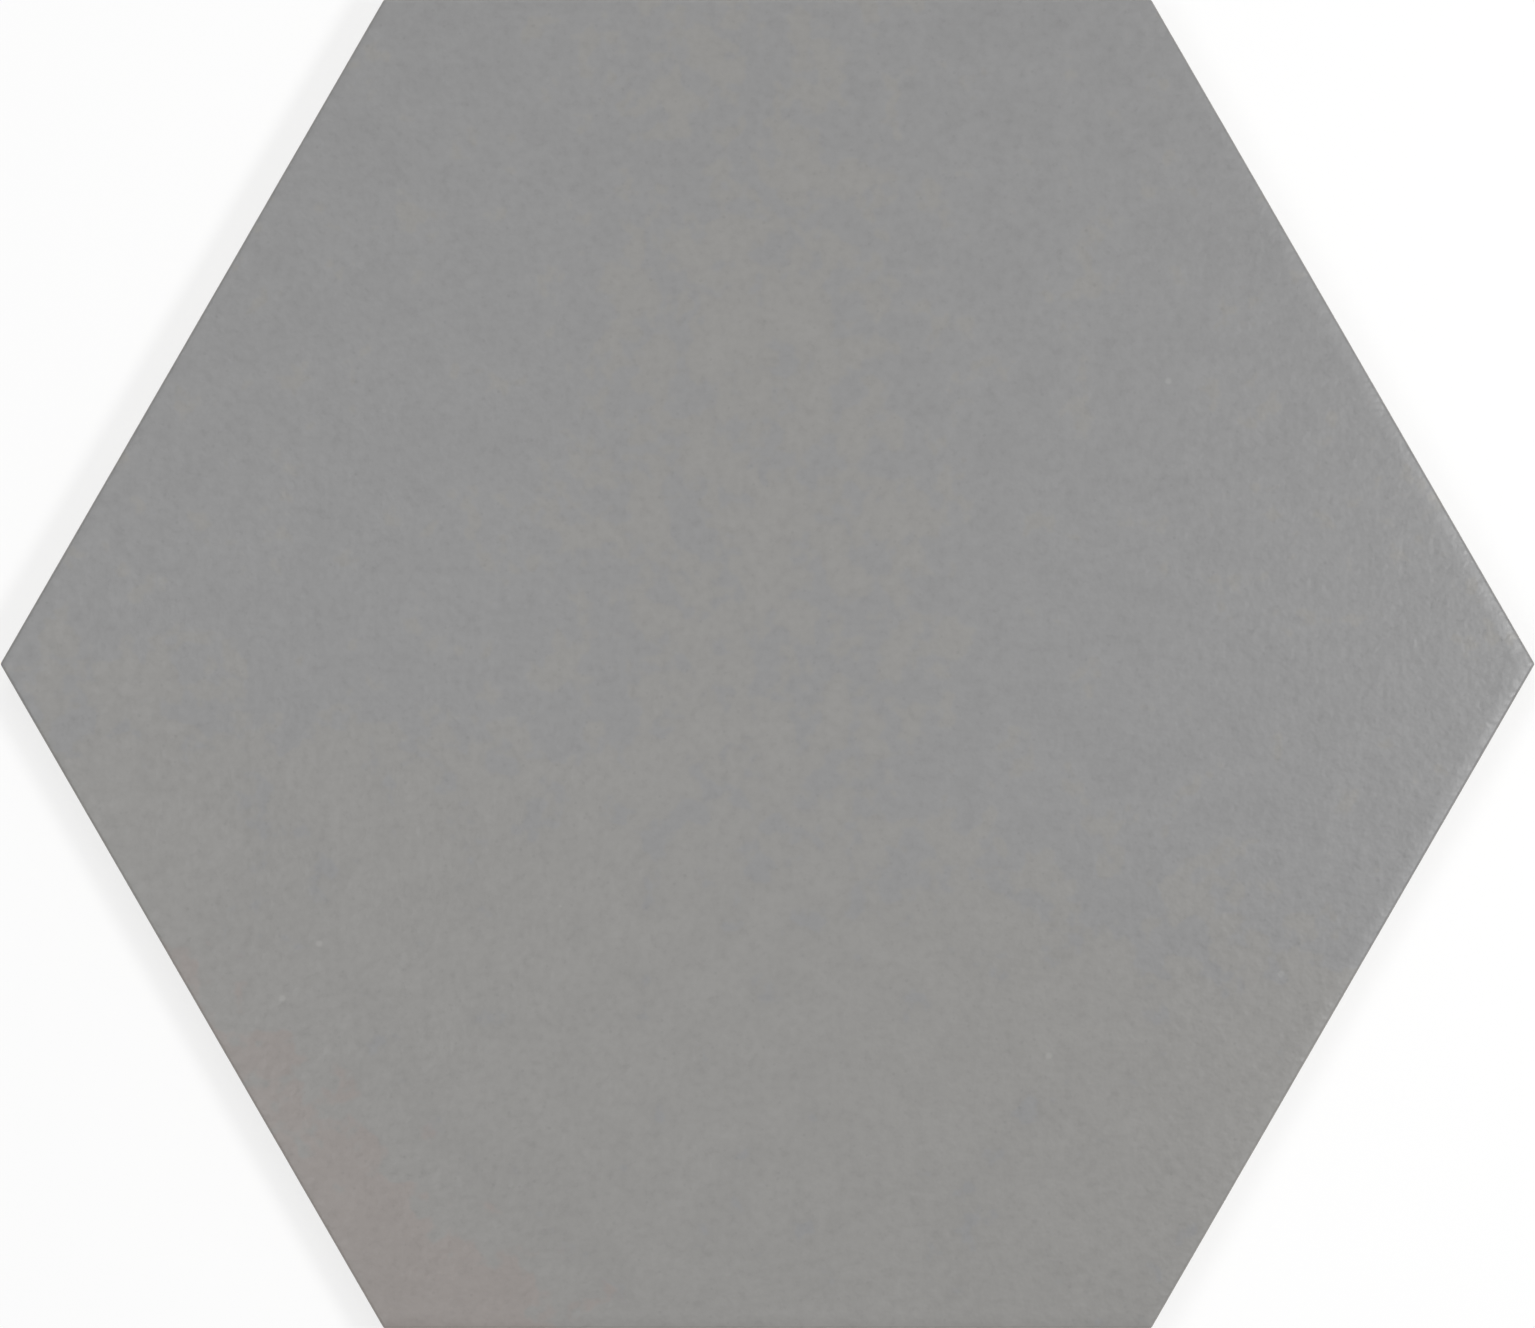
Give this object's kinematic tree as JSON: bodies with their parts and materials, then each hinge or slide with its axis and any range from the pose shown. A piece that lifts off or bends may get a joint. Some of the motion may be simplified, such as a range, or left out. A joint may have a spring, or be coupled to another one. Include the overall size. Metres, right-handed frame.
{
  "type": "hexagon floor tile",
  "caption": "Plain grey hexagonal floor tile with a matte, softly rolled face and a honeycomb key in its back.",
  "frame": {"origin": "middle of the bedding plane, which the ribs and the border of the back lie in", "axes": "+Z out of the walked-on face, +X through two opposite corners, +Y square to two opposite flats"},
  "size_m": [0.2498, 0.2164, 0.0095],
  "materials": {
    "matte_porcelain": "matte"
  },
  "bodies": {
    "root": {"hexagon_tile": "matte_porcelain"}
  },
  "joints": []
}
